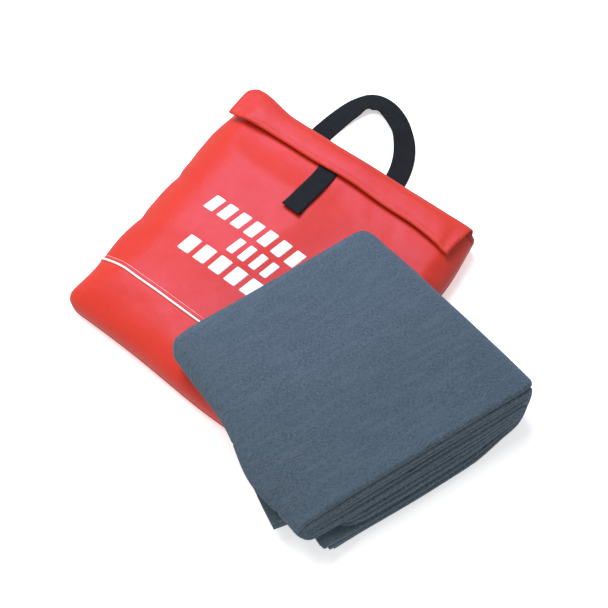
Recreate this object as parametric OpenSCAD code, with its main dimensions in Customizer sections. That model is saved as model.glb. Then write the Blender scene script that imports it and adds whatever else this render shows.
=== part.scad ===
// Fire blanket kit: a coated-fabric carrying bag that lies on its back, with the folded wool
// blanket laid across its front. Millimetres, +Z up, +Y towards the bag's flap and handle.
// The origin is the middle of the bag's back panel, on the surface that the kit lies on.

/* [Bag] */
// Width of the bag across its flap
bag_w = 448; // [400:4:500]
// Height of the bag from its bottom seam to the flap's fold
bag_h = 476; // [440:4:520]
// Depth of the bag from the back panel to the front panel
bag_d = 60; // [50:1:68]
// Radius of the bag's two bottom corners, seen from the front
corner_r = 24; // [10:1:40]
// Height of the seam that joins the front and the back around the bag's sides
side_seam_z = 24; // [15:1:40]
// Thickness of the coated fabric with its lining
fabric_t = 1.5; // [1:0.1:2]
// Distance of the piped seam from the bag's bottom edge
piping_up = 90; // [60:1:120]
// Diameter of the white piping bead
piping_d = 3.6; // [3:0.1:4.4]

/* [Flap and closure] */
// Length of the flap on the bag's front
flap_l = 60; // [50:1:80]
// Distance of the closure tab's and handle's centre line from the bag's centre
closure_x = -25; // [-40:1:0]
// Width of the closure tab
tab_w = 34; // [25:1:40]
// Length of the closure tab below the flap
tab_l = 89; // [80:1:95]
// Length of the hook and loop patches
patch_l = 50; // [40:1:60]

/* [Handle] */
// Width of the webbing
strap_w = 38; // [25:1:40]
// Thickness of the webbing
strap_t = 2; // [1.5:0.1:2.2]
// Distance between the middles of the handle's two legs
handle_span = 160; // [120:2:180]
// Reach of the handle's centre line past the bag
handle_reach = 143; // [100:1:160]
// Sideways lean of the top of the handle's loop
handle_lean = 25; // [0:1:30]
// Length of webbing sewn down inside the bag at each end
tail_l = 42; // [30:1:60]

/* [Blanket] */
// Length of the folded blanket along its ply ends
fold_l = 394; // [360:1:400]
// Width of the folded blanket across its ply ends
fold_w = 338; // [320:1:345]
// Thickness of one ply of felted wool
ply_t = 3.1; // [2.8:0.1:3.2]
// Number of plies in the folded blanket
plies = 24; // [24]
// How far the lowest plies slide out past the top ones
fan_out = 30; // [20:1:36]
// Turn of the blanket from the bag's axes, in degrees
blanket_yaw = -15; // [-16:1:-14]
// Middle of the folded blanket from the bag's centre, along the bag's width
blanket_x = 200; // [195:1:205]
// Middle of the folded blanket from the bag's centre, along the bag's height
blanket_y = -80; // [-85:1:-75]

/* [Hidden] */
$fn = 48;

// Working gap between pieces that move past each other
gap = 0.3;
// Sewing thread, as it stands on the fabric
thread_w = 1;
thread_h = 0.5;

// Bag
half_w = bag_w / 2;
half_h = bag_h / 2;
piping_y = -half_h + piping_up;
mouth_y = half_h - 2;
binding_w = 5;
binding_t = 1;
hem_w = 10;

// Seam along the top of the back panel, where the handle's ends and the flap are sewn in
seam_w = 5;
seam_top = fabric_t + strap_t + 0.7;
spine_bottom = seam_top + gap;

// Closure, from the front panel outwards
loop_t = 1.2;
hook_t = 1.5;
tab_t = 1.5;
tab_z = bag_d + loop_t + gap + hook_t;
flap_z = tab_z + tab_t;
flap_edge_y = half_h - flap_l;
tab_hinge_y = flap_edge_y - 3;
tab_end_y = tab_hinge_y - tab_l;
tab_root_l = 26;

// Handle
handle_x = closure_x + 2;
handle_y = half_h + 3;
handle_z = 0.2;
tail_xs = [handle_x - handle_span / 2, handle_x + handle_span / 2];

// Generic marking: three rows of plain bars, each [left end, lower edge, length, number of bars]
bar_h = 30;
bar_gap = 9;
bar_slant = 6;
print_t = 0.25;
print_rows = [[-142, 10, 232, 9], [-64, -30, 78, 4], [-130, -70, 206, 7]];

// Blanket. Its own axes are x across the ply ends and y along them.
rest_z = bag_d + piping_d + gap;
half_ply_t = plies * ply_t / 2;
fold_z = rest_z + half_ply_t;
top_z = fold_z + half_ply_t;
far_top_z = 110;
far_fold_z = 52;
droop_x = 66;
floor_x = 160;
near_x = -fold_w / 2;
far_x = fold_w / 2;
low_near_x = near_x + 20;
low_far_x = far_x + fan_out;

// Flat shapes --------------------------------------------------------------------------------

// The bag's outline drawn in by inset, up to y = top: round at the two bottom corners
module outline(inset = 0, top = half_h) {
    r = corner_r - inset;
    low = -half_h + inset;
    wide = bag_w - 2 * inset;
    translate([-wide / 2, low + r]) square([wide, top - low - r]);
    translate([-wide / 2 + r, low]) square([wide - 2 * r, r]);
    for (x = [-wide / 2 + r, wide / 2 - r]) translate([x, low + r]) circle(r);
}

// A band just inside the bag's outline, open at the top
module band(outer, inner, top = half_h) {
    difference() {
        outline(outer, top);
        outline(inner, top + 1);
    }
}

// A rectangle between two corners
module block(low, high) {
    translate(low) cube(high - low);
}

// Threads --------------------------------------------------------------------------------------

// One row of stitching from a to b along X or Y, on a surface at height z
module thread(a, b, z) {
    half = thread_w / 2;
    block([a[0] - half, a[1] - half, z], [b[0] + half, b[1] + half, z + thread_h]);
}

// A rectangle of stitching with its inner corner points low and high
module thread_box(low, high, z) {
    thread(low, [high[0], low[1]], z);
    thread([low[0], high[1]], high, z);
    thread(low, [low[0], high[1]], z);
    thread([high[0], low[1]], high, z);
}

// Bag ----------------------------------------------------------------------------------------

// Back of the bag, turned up at the sides and the bottom as far as the side seam
module back_panel() {
    color("orangered") {
        linear_extrude(fabric_t) outline();
        translate([0, 0, fabric_t]) linear_extrude(side_seam_z - fabric_t) band(0, fabric_t);
    }
}

// Front of the bag above the piped seam, turned down at both sides to the side seam
module front_panel() {
    color("orangered") {
        block([-half_w, piping_y, bag_d - fabric_t], [half_w, mouth_y, bag_d]);
        for (x = [-half_w, half_w - fabric_t])
            block([x, piping_y, side_seam_z], [x + fabric_t, mouth_y, bag_d - fabric_t]);
    }
}

// Front of the bag below the piped seam, turned down all round to the side seam
module front_lower_panel() {
    color("orangered") {
        translate([0, 0, bag_d - fabric_t]) linear_extrude(fabric_t) outline(0, piping_y);
        translate([0, 0, side_seam_z]) linear_extrude(bag_d - fabric_t - side_seam_z)
            band(0, fabric_t, piping_y);
    }
}

// Taped seam allowance inside the bag, all along the side seam
module seam_binding() {
    color("firebrick") translate([0, 0, side_seam_z - binding_t])
        linear_extrude(2 * binding_t) band(fabric_t, fabric_t + binding_w, mouth_y);
}

// Tape along the free edge of the bag's mouth
module mouth_binding() {
    color("firebrick")
        block([-half_w + 2, mouth_y - hem_w, bag_d], [half_w - 2, mouth_y, bag_d + binding_t]);
}

module mouth_thread() {
    color("red") thread([-half_w + 5, mouth_y - 7], [half_w - 5, mouth_y - 7], bag_d + binding_t);
}

// White bead along the seam between the two front panels
module piping_bead() {
    color("white") translate([0, piping_y, bag_d + piping_d / 2]) rotate([0, 90, 0])
        cylinder(h = bag_w - 4, d = piping_d, center = true);
}

module piping_thread() {
    color("white") thread([-half_w + 3, piping_y + 8], [half_w - 3, piping_y + 8], bag_d);
}

// One slanted bar of the marking
module print_bar(length) {
    linear_extrude(print_t)
        polygon([[0, 0], [length, 0], [length + bar_slant, bar_h], [bar_slant, bar_h]]);
}

module front_print() {
    color("white") for (row = print_rows) {
        pitch = (row[2] + bar_gap) / row[3];
        for (i = [0 : row[3] - 1])
            translate([row[0] + i * pitch, row[1], bag_d]) print_bar(pitch - bar_gap);
    }
}

module loop_patch() {
    color("dimgray") block([closure_x - tab_w / 2, tab_end_y + 4, bag_d],
        [closure_x + tab_w / 2, tab_end_y + 4 + patch_l, bag_d + loop_t - thread_h]);
}

module loop_patch_thread() {
    color("black") thread_box([closure_x - tab_w / 2 + 3, tab_end_y + 7],
        [closure_x + tab_w / 2 - 3, tab_end_y + 1 + patch_l], bag_d + loop_t - thread_h);
}

// Rolled seam along the top of the back panel, with a passage for each end of the handle
module top_seam() {
    color("firebrick") difference() {
        block([-half_w + 2, half_h - seam_w, fabric_t], [half_w - 2, half_h, seam_top]);
        for (x = tail_xs)
            block([x - strap_w / 2, half_h - seam_w - 1, fabric_t - 1],
                [x + strap_w / 2, half_h + 1, fabric_t + strap_t]);
    }
}

// Handle ------------------------------------------------------------------------------------

// End of the webbing, sewn down inside the bag and led out through the top seam
module handle_tail(i) {
    color("black") block([tail_xs[i] - strap_w / 2, half_h - seam_w - tail_l, fabric_t],
        [tail_xs[i] + strap_w / 2, half_h - gap, fabric_t + strap_t]);
}

module handle_tail_thread() {
    color("gray") for (x = tail_xs)
        thread_box([x - strap_w / 2 + 4, half_h - seam_w - tail_l + 4],
            [x + strap_w / 2 - 4, half_h - seam_w - 4], fabric_t + strap_t);
}

// Centre line of the handle's loop at angle a, from 0 at one leg to 180 at the other
function loop_at(a) = [handle_x + handle_span / 2 * cos(a) - handle_lean * pow(sin(a), 3),
    handle_y + handle_reach * sin(a)];

// Sideways step to the loop's edge at angle a
function loop_side(a) =
    let (along = loop_at(a + 0.5) - loop_at(a - 0.5))
    [along[1], -along[0]] / norm(along) * strap_w / 2;

module handle_loop() {
    angles = [for (a = [0 : 6 : 180]) a];
    outer = [for (a = angles) loop_at(a) + loop_side(a)];
    inner = [for (i = [len(angles) - 1 : -1 : 0]) loop_at(angles[i]) - loop_side(angles[i])];
    color("black") translate([0, 0, handle_z]) linear_extrude(strap_t)
        intersection() {
            polygon(concat(outer, inner));
            translate([handle_x - 200, handle_y]) square([400, 400]);
        }
}

// Flap and closure ----------------------------------------------------------------------------

// The part of the flap's fabric that covers the bag's mouth
module flap_spine() {
    color("orangered") block([-half_w, half_h, spine_bottom], [half_w, half_h + fabric_t, flap_z - gap]);
}

// The part of the flap's fabric that lies on the bag's front
module flap() {
    color("orangered") block([-half_w, flap_edge_y, flap_z], [half_w, half_h, flap_z + fabric_t]);
}

// Hem turned in under the flap's free edges, open where the closure tab is sewn in
module flap_hem() {
    color("firebrick") translate([0, 0, flap_z - binding_t]) linear_extrude(binding_t)
        difference() {
            translate([-half_w, flap_edge_y]) square([bag_w, flap_l - hem_w]);
            translate([-half_w + hem_w, flap_edge_y + hem_w]) square([bag_w - 2 * hem_w, flap_l]);
            translate([closure_x - tab_w / 2, flap_edge_y - 1]) square([tab_w, flap_l]);
        }
}

module flap_hem_thread() {
    x = half_w - 7;
    y = flap_edge_y + 7;
    color("red") {
        thread([-x, y], [x, y], flap_z + fabric_t);
        for (side = [-x, x]) thread([side, y], [side, half_h - 4], flap_z + fabric_t);
    }
}

// End of the closure tab, sewn under the flap
module tab_root() {
    color("black") block([closure_x - tab_w / 2, tab_hinge_y + gap, tab_z],
        [closure_x + tab_w / 2, tab_hinge_y + tab_root_l, flap_z]);
}

module closure_tab() {
    color("black") block([closure_x - tab_w / 2, tab_end_y, tab_z],
        [closure_x + tab_w / 2, tab_hinge_y, flap_z]);
}

module hook_patch() {
    color("dimgray") block([closure_x - tab_w / 2 + 1, tab_end_y + 3, bag_d + loop_t + gap],
        [closure_x + tab_w / 2 - 1, tab_end_y + 3 + patch_l, tab_z]);
}

module hook_patch_thread() {
    color("gray") thread_box([closure_x - tab_w / 2 + 3, tab_end_y + 5],
        [closure_x + tab_w / 2 - 3, tab_end_y + 1 + patch_l], flap_z);
}

// Blanket --------------------------------------------------------------------------------------

// Height that eases from z0 to z1 as x goes from x0 to x1
function eased(x, x0, x1, z0, z1) =
    let (u = max(0, min(1, (x - x0) / (x1 - x0))))
    z0 + (z1 - z0) * u * u * (3 - 2 * u);

// Underside of the blanket: flat on the bag, then down to the floor past the bag's side
function under_at(x) = eased(x, droop_x, floor_x, rest_z, 0);

// The fold between the two halves
function fold_at(x) = eased(x, 0, low_far_x, fold_z, far_fold_z);

// Top of the blanket
function top_at(x) = eased(x, -20, far_x + 40, top_z, far_top_z);

// Points of a stretch from x0 to x1 at the heights that kind names
function edge_points(x0, x1, kind) = [for (i = [0 : 12])
    let (x = x0 + (x1 - x0) * i / 12)
    [x, kind == "under" ? under_at(x) : kind == "fold" ? fold_at(x) : top_at(x)]];

// A closed profile in x and z, extruded along the blanket's y
module blanket_solid(profile) {
    translate([blanket_x, blanket_y, 0]) rotate([0, 0, blanket_yaw])
        translate([0, fold_l / 2, 0]) rotate([90, 0, 0]) linear_extrude(fold_l) polygon(profile);
}

function reversed(points) = [for (i = [len(points) - 1 : -1 : 0]) points[i]];

module blanket_lower_half() {
    lower = concat([[low_near_x, rest_z]], edge_points(droop_x, floor_x, "under"), [[low_far_x, 0]]);
    upper = concat([[low_near_x, fold_z]], edge_points(0, low_far_x, "fold"));
    color("slategray") blanket_solid(concat(lower, reversed(upper)));
}

module blanket_upper_half() {
    lower = concat([[near_x, fold_z]], edge_points(0, far_x, "fold"));
    upper = concat([[near_x, top_z]], edge_points(-20, far_x, "top"));
    raised = [for (p = lower) [p[0], p[1] + gap]];
    color("lightslategray") blanket_solid(concat(raised, reversed(upper)));
}

// Nodes ----------------------------------------------------------------------------------------

back_panel();
front_panel();
front_lower_panel();
seam_binding();
mouth_binding();
mouth_thread();
piping_bead();
piping_thread();
front_print();
loop_patch();
loop_patch_thread();
top_seam();
handle_tail(0);  // handle_tail_left
handle_tail(1);  // handle_tail_right
handle_tail_thread();
handle_loop();
flap_spine();
flap();
flap_hem();
flap_hem_thread();
tab_root();
closure_tab();
hook_patch();
hook_patch_thread();
blanket_lower_half();
blanket_upper_half();
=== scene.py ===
"""Looks of the fire blanket kit: a folded felt blanket that lies across its coated-fabric bag.

Lengths are in metres. x runs across the bag, y from its bottom seam to its flap, z up out of its front.
"""
import math

import bpy
import numpy as np
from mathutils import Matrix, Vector
from mathutils.bvhtree import BVHTree


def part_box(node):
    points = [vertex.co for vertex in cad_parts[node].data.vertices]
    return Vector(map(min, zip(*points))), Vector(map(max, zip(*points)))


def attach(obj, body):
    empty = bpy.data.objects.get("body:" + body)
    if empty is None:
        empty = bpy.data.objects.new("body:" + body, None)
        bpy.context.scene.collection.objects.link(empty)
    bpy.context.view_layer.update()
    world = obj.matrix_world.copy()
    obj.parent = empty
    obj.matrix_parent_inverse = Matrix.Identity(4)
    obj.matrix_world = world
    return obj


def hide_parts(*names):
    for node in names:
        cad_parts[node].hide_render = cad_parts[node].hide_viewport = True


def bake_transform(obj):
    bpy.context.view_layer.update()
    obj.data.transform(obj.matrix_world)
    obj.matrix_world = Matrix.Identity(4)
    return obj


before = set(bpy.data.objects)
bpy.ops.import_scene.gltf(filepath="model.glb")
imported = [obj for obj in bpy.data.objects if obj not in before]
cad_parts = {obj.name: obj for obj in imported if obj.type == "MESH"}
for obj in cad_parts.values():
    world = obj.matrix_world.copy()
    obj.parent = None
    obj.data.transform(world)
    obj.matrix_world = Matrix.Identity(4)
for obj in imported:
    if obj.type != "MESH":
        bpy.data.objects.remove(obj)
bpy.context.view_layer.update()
scene = bpy.context.scene
MM = 0.001
UP = np.array([0, 0, 1.0])


def set_all(target, **settings):
    for key, value in settings.items():
        setattr(target, key, value)
    return target


def centre_of(box, axis):
    """Middle of a CAD box, which is its low and its high corner, along x, y or z (0, 1 or 2)."""
    return (box[0][axis] + box[1][axis]) / 2


def extent(box, axis):
    return box[1][axis] - box[0][axis]


# ---------------------------------------------------------------- camera and light

def aim(obj, back):
    obj.rotation_mode = "QUATERNION"
    obj.rotation_quaternion = (-back).to_track_quat("-Z", "Y")


def direction(azimuth, elevation):
    a, e = math.radians(azimuth), math.radians(elevation)
    return Vector((math.sin(a) * math.cos(e), -math.cos(a) * math.cos(e), math.sin(e)))


def add_object(name, data):
    obj = bpy.data.objects.new(name, data)
    scene.collection.objects.link(obj)
    return obj


VIEW_BACK = direction(36.9, 64.3)
VIEW_TARGET = Vector((0.0782, -0.0155, 0.030))
VIEW_DISTANCE = 1.70
camera = add_object("camera", bpy.data.cameras.new("camera"))
camera.data.lens = 64.24
camera.location = VIEW_TARGET + VIEW_BACK * VIEW_DISTANCE
aim(camera, VIEW_BACK)
scene.camera = camera

scene.view_settings.view_transform = "Standard"


def area_light(name, azimuth, elevation, distance, size, power, color):
    data = bpy.data.lights.new(name, "AREA")
    light = add_object(name, set_all(data, shape="SQUARE", size=size, energy=power, color=color))
    back = direction(azimuth, elevation)
    light.location = VIEW_TARGET + back * distance
    aim(light, back)
    return light


WARM_WHITE, SKY_BLUE = (1.0, 0.985, 0.965), (0.38, 0.48, 0.90)
key_light = area_light("key_light", -105, 64, 2.4, 1.5, 51, WARM_WHITE)
fill_light = area_light("fill_light", 20, 42, 2.6, 1.6, 10, WARM_WHITE)
key_light.visible_glossy = fill_light.visible_glossy = False
area_light("gloss_light", 229.6, 58.3, 2.33, 1.0, 40, SKY_BLUE)

world = bpy.data.worlds.new("studio")
world.use_nodes = True
background = world.node_tree.nodes["Background"]
background.inputs["Color"].default_value = (0.97, 0.985, 1.0, 1)
background.inputs["Strength"].default_value = 0.40
scene.world = world


# ---------------------------------------------------------------- node materials

class Graph:
    """A node material that is built in code around one Principled shader."""

    def __init__(self, name, **fixed):
        self.material = bpy.data.materials.new(name)
        self.material.use_nodes = True
        self.tree = self.material.node_tree
        self.tree.nodes.clear()
        self.shader = self.tree.nodes.new("ShaderNodeBsdfPrincipled")
        out = self.tree.nodes.new("ShaderNodeOutputMaterial")
        self.tree.links.new(self.shader.outputs[0], out.inputs[0])
        self.finish(**fixed)

    def put(self, socket, value):
        if isinstance(value, bpy.types.NodeSocket):
            self.tree.links.new(value, socket)
        else:
            socket.default_value = value

    def node(self, kind, inputs=None, out=0, **settings):
        made = set_all(self.tree.nodes.new("ShaderNode" + kind), **settings)
        for key, value in (inputs or {}).items():
            self.put(made.inputs[key], value)
        return made.outputs[out]

    def cloth(self, scale=(1, 1, 1), turn=0.0):
        """Place on the flat cloth, in metres, stretched and turned for a pattern with a grain."""
        place = self.node("Attribute", out="Vector", attribute_name="cloth")
        return self.node("Mapping", {"Vector": place, "Scale": scale, "Rotation": (0, 0, turn)})

    def noise(self, scale, detail=3.0, rough=0.5, vector=None):
        return self.node("TexNoise", {"Vector": vector or self.cloth(), "Scale": scale,
                                      "Detail": detail, "Roughness": rough}, out="Fac")

    def bands(self, pitch, axis):
        """Smooth ridges with that pitch, in metres, across the cloth's x or y."""
        return self.node("TexWave", {"Vector": self.cloth(), "Scale": math.pi / (10 * pitch)},
                         out="Fac", bands_direction=axis)

    def weave(self, pitch):
        """Warp and weft, each with that pitch."""
        return self.math("MULTIPLY", self.bands(pitch, "X"), self.bands(pitch, "Y"))

    def math(self, operation, a, b=0.0):
        return self.node("Math", {0: a, 1: b}, operation=operation)

    def span(self, value, low, high, from_low=0.3, from_high=0.7):
        return self.node("MapRange", {"Value": value, "From Min": from_low, "From Max": from_high,
                                      "To Min": low, "To Max": high})

    def mix(self, factor, a, b):
        made = self.tree.nodes.new("ShaderNodeMix")
        made.data_type = "RGBA"
        for socket, value in zip((made.inputs[0], made.inputs[6], made.inputs[7]), (factor, a, b)):
            self.put(socket, value)
        return made.outputs[2]

    def attribute(self, name):
        return self.node("Attribute", out="Fac", attribute_name=name)

    def bump(self, height, distance, strength=1.0, normal=None):
        inputs = {"Height": height, "Distance": distance, "Strength": strength}
        if normal is not None:
            inputs["Normal"] = normal
        return self.node("Bump", inputs)

    def finish(self, **values):
        """Sets or links the shader's inputs, whose names have _ for each space, and gives the material."""
        for key, value in values.items():
            self.put(self.shader.inputs[key.replace("_", " ")], value)
        return self.material


COAT_THREAD = 0.0011


def coated_fabric():
    """Glossy polyurethane coat over a plain weave: orange-red, scuffed lighter along seams and hems."""
    g = Graph("coated_fabric", IOR=1.48, Coat_Weight=0.06, Coat_Roughness=0.38, Sheen_Weight=0.04)
    weave = g.weave(COAT_THREAD)
    cloudy = g.noise(9.0, 3.0)
    fine = g.noise(160.0, 2.0)
    worn = g.math("MULTIPLY", g.attribute("wear"), g.span(g.noise(220.0, 3.0, 0.7), 0, 1, 0.42, 0.62))
    color = g.mix(g.span(cloudy, 0, 1), (0.62, 0.034, 0.013, 1), (0.57, 0.027, 0.011, 1))
    color = g.mix(g.span(fine, 0.0, 0.25), color, (0.48, 0.020, 0.010, 1))
    color = g.mix(g.math("MULTIPLY", worn, 0.35), color, (0.70, 0.10, 0.05, 1))
    rough = g.math("ADD", g.span(g.noise(40.0, 4.0), 0.38, 0.48), g.math("MULTIPLY", worn, 0.15))
    normal = g.bump(g.noise(26.0, 2.0), 0.0022, 0.35)
    normal = g.bump(g.noise(85.0, 2.0), 0.0006, 0.30, normal)
    normal = g.bump(weave, 0.00012, 0.8, normal)
    return g.finish(Base_Color=color, Roughness=rough, Normal=normal)


def felt():
    """Brushed wool felt: slate blue-grey, with short fibres that lie across each other."""
    g = Graph("felted_wool", IOR=1.4, Specular_IOR_Level=0.12, Sheen_Weight=0.10, Sheen_Roughness=0.55,
              Sheen_Tint=(0.62, 0.76, 0.92, 1))
    one, two = (g.noise(760.0, 3.0, 0.65, g.cloth((1, 0.28, 1), turn)) for turn in (0.75, -0.8))
    fibres = g.math("MULTIPLY", g.math("ADD", one, two), 0.5)
    lumps = g.noise(190.0, 3.0, 0.6)
    blotch = g.noise(11.0, 3.0, 0.55)
    color = g.mix(g.span(fibres, 0, 1, 0.38, 0.62), (0.028, 0.046, 0.060, 1), (0.118, 0.150, 0.176, 1))
    color = g.mix(g.span(lumps, 0, 0.45, 0.35, 0.65), color, (0.052, 0.074, 0.094, 1))
    brushed = g.noise(120.0, 3.0, 0.6, g.cloth((1, 0.16, 1), 0.55))
    color = g.mix(g.span(brushed, 0, 0.35, 0.45, 0.65), color, (0.108, 0.138, 0.162, 1))
    color = g.mix(g.span(blotch, 0, 0.35), color, (0.064, 0.096, 0.112, 1))
    normal = g.bump(lumps, 0.0009, 0.5)
    normal = g.bump(brushed, 0.0009, 0.5, normal)
    normal = g.bump(fibres, 0.0007, 0.9, normal)
    return g.finish(Base_Color=color, Roughness=g.span(fibres, 0.97, 0.82), Normal=normal)


def webbing():
    """Woven nylon strap: cross ribs with a selvedge, matt black."""
    g = Graph("black_webbing", IOR=1.5, Specular_IOR_Level=0.2)
    ribs = g.bands(0.0019, "X")
    cords = g.bands(0.0024, "Y")
    weave = g.math("MAXIMUM", g.math("MULTIPLY", ribs, 0.9), g.math("MULTIPLY", cords, 0.7))
    fuzz = g.noise(900.0, 2.0)
    color = g.mix(g.span(weave, 0, 1, 0.1, 0.9), (0.003, 0.0034, 0.0034, 1), (0.0135, 0.0150, 0.0148, 1))
    color = g.mix(g.span(g.noise(60.0, 3.0), 0, 0.4), color, (0.018, 0.0195, 0.0190, 1))
    normal = g.bump(weave, 0.0005, 0.9)
    normal = g.bump(fuzz, 0.0003, 0.4, normal)
    return g.finish(Base_Color=color, Roughness=g.span(weave, 0.75, 0.5, 0, 1), Normal=normal)


def pile():
    """Hook-and-loop pile: matt black nylon loops."""
    g = Graph("hook_and_loop", IOR=1.5, Sheen_Weight=0.1)
    loops = g.node("TexVoronoi", {"Vector": g.cloth(), "Scale": 900.0}, out="Distance")
    color = g.mix(g.span(loops, 0, 1, 0.1, 0.7), (0.040, 0.042, 0.046, 1), (0.006, 0.006, 0.007, 1))
    normal = g.bump(loops, 0.0006, 0.9)
    return g.finish(Base_Color=color, Roughness=g.span(loops, 0.7, 0.95, 0, 1), Normal=normal)


def thread(name, light, dark, rough):
    """Twisted polyester thread."""
    g = Graph(name, IOR=1.5)
    twist = g.noise(700.0, 2.0, 0.6, g.cloth((1, 3, 1), 0.6))
    color = g.mix(g.span(twist, 0, 1), light, dark)
    normal = g.bump(twist, 0.0002, 0.8)
    return g.finish(Base_Color=color, Roughness=g.span(twist, rough, rough + 0.15), Normal=normal)


def tape():
    """Ribbed binding tape, dark red."""
    g = Graph("binding_tape", IOR=1.45, Sheen_Weight=0.1)
    ribs = g.bands(0.0009, "X")
    color = g.mix(g.span(ribs, 0, 1, 0, 1), (0.30, 0.016, 0.013, 1), (0.52, 0.030, 0.024, 1))
    color = g.mix(g.span(g.noise(70.0), 0, 0.3), color, (0.38, 0.030, 0.026, 1))
    normal = g.bump(ribs, 0.0002, 0.8)
    return g.finish(Base_Color=color, Roughness=g.span(ribs, 0.75, 0.55, 0, 1), Normal=normal)


def piping():
    """Smooth vinyl piping, off-white, a little soiled."""
    g = Graph("white_piping", IOR=1.5)
    soil = g.noise(60.0, 4.0, 0.6)
    color = g.mix(g.span(soil, 0, 0.5, 0.45, 0.7), (0.93, 0.92, 0.90, 1), (0.80, 0.74, 0.70, 1))
    normal = g.bump(g.noise(300.0, 2.0), 0.0002, 0.4)
    return g.finish(Base_Color=color, Roughness=g.span(soil, 0.32, 0.5), Normal=normal)


def ink():
    """Screen print that lets the weave through."""
    g = Graph("white_print", IOR=1.48)
    weave = g.weave(COAT_THREAD)
    worn = g.span(g.noise(330.0, 4.0, 0.7), 0, 1, 0.60, 0.72)
    color = g.mix(g.math("MULTIPLY", worn, 0.5), (0.92, 0.90, 0.90, 1), (0.86, 0.55, 0.52, 1))
    normal = g.bump(weave, 0.0001, 0.7)
    return g.finish(Base_Color=color, Roughness=g.span(g.noise(90.0), 0.42, 0.58), Normal=normal)


def pale_floor():
    g = Graph("floor", IOR=1.3, Specular_IOR_Level=0.1, Emission_Color=(1, 1, 1, 1), Emission_Strength=0.45)
    place = g.node("TexCoord", out="Object")
    grain = g.noise(3.0, 2.0, 0.5, place)
    color = g.mix(g.span(grain, 0, 1), (0.93, 0.93, 0.93, 1), (0.92, 0.92, 0.925, 1))
    return g.finish(Base_Color=color, Roughness=g.span(grain, 0.8, 0.9))


FINISH = {
    "coated_fabric": coated_fabric(),
    "binding_tape": tape(),
    "white_piping": piping(),
    "white_thread": thread("white_thread", (0.90, 0.88, 0.86, 1), (0.74, 0.70, 0.68, 1), 0.45),
    "red_thread": thread("red_thread", (0.66, 0.045, 0.032, 1), (0.48, 0.030, 0.024, 1), 0.45),
    "black_thread": thread("black_thread", (0.030, 0.031, 0.034, 1), (0.012, 0.012, 0.014, 1), 0.45),
    "white_print": ink(),
    "hook_and_loop": pile(),
    "black_webbing": webbing(),
    "felted_wool": felt(),
}


# ---------------------------------------------------------------- mesh helpers

def make_piece(name, points, faces, slot, cloth, wear=None):
    """A smooth mesh object with its flat-cloth places and its wear stored on the points."""
    mesh = bpy.data.meshes.new(name)
    mesh.from_pydata([tuple(map(float, p)) for p in points], [], [tuple(map(int, f)) for f in faces])
    mesh.validate()
    place = np.zeros((len(cloth), 3), np.float32)
    place[:, :np.shape(cloth)[1]] = cloth
    mesh.attributes.new("cloth", "FLOAT_VECTOR", "POINT").data.foreach_set("vector", place.ravel())
    if wear is not None:
        mesh.attributes.new("wear", "FLOAT", "POINT").data.foreach_set("value", np.asarray(wear, np.float32))
    mesh.polygons.foreach_set("use_smooth", [True] * len(mesh.polygons))
    mesh.materials.append(FINISH[slot])
    obj = add_object(name, mesh)
    return obj


def quads_of(lower, upper):
    """Quads between the point numbers of two rows, or of two equal sets of rows."""
    quads = np.stack([lower[..., :-1], lower[..., 1:], upper[..., 1:], upper[..., :-1]], axis=-1)
    return quads.reshape(-1, 4).tolist()


def grid_faces(rows, columns, wrap=False, start=0):
    """Quads of a grid that is stored row by row; wrap joins the last column to the first."""
    ids = start + np.arange(rows * columns).reshape(rows, columns)
    if wrap:
        ids = np.hstack([ids, ids[:, :1]])
    return quads_of(ids[:-1], ids[1:])


def tube_faces(rings, sides, start=0):
    """Quads round a row of rings, and a face over each end."""
    last = start + (rings - 1) * sides
    ends = [tuple(range(start, start + sides))[::-1], tuple(range(last, last + sides))]
    return grid_faces(rings, sides, wrap=True, start=start) + ends


def smoothstep(t):
    t = np.clip(t, 0.0, 1.0)
    return t * t * (3 - 2 * t)


def ease(x, start, end):
    return smoothstep((x - start) / (end - start))


def unit(v):
    v = np.asarray(v, float)
    return v / np.maximum(np.linalg.norm(v, axis=-1, keepdims=True), 1e-12)


def along(points):
    """Distance along a line of points."""
    steps = np.linalg.norm(np.diff(points, axis=0), axis=1)
    return np.concatenate([[0.0], np.cumsum(steps)])


def at_places(line, at, new):
    """The line's points at the new places, where at holds the place of each of its points."""
    return np.stack([np.interp(new, at, line[:, k]) for k in range(line.shape[1])], axis=-1)


def resample(points, step):
    """The same line with points at even steps."""
    points = np.asarray(points, float)
    at = along(points)
    count = max(2, int(round(at[-1] / step)) + 1)
    return at_places(points, at, np.linspace(0, at[-1], count))


def smooth_line(points, count):
    """A smooth curve through the points, by Catmull-Rom pieces, with even steps."""
    p = np.vstack([2 * points[0] - points[1], points, 2 * points[-1] - points[-2]])
    out = []
    for i in range(1, len(p) - 2):
        for t in np.linspace(0, 1, 8, endpoint=False):
            a, b, c, d = p[i - 1:i + 3]
            out.append(0.5 * (2 * b + (c - a) * t + (2 * a - 5 * b + 4 * c - d) * t ** 2
                              + (3 * b - a - 3 * c + d) * t ** 3))
    out.append(p[-2])
    out = np.array(out)
    at = along(out)
    return at_places(out, at, np.linspace(0, at[-1], count))


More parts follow.
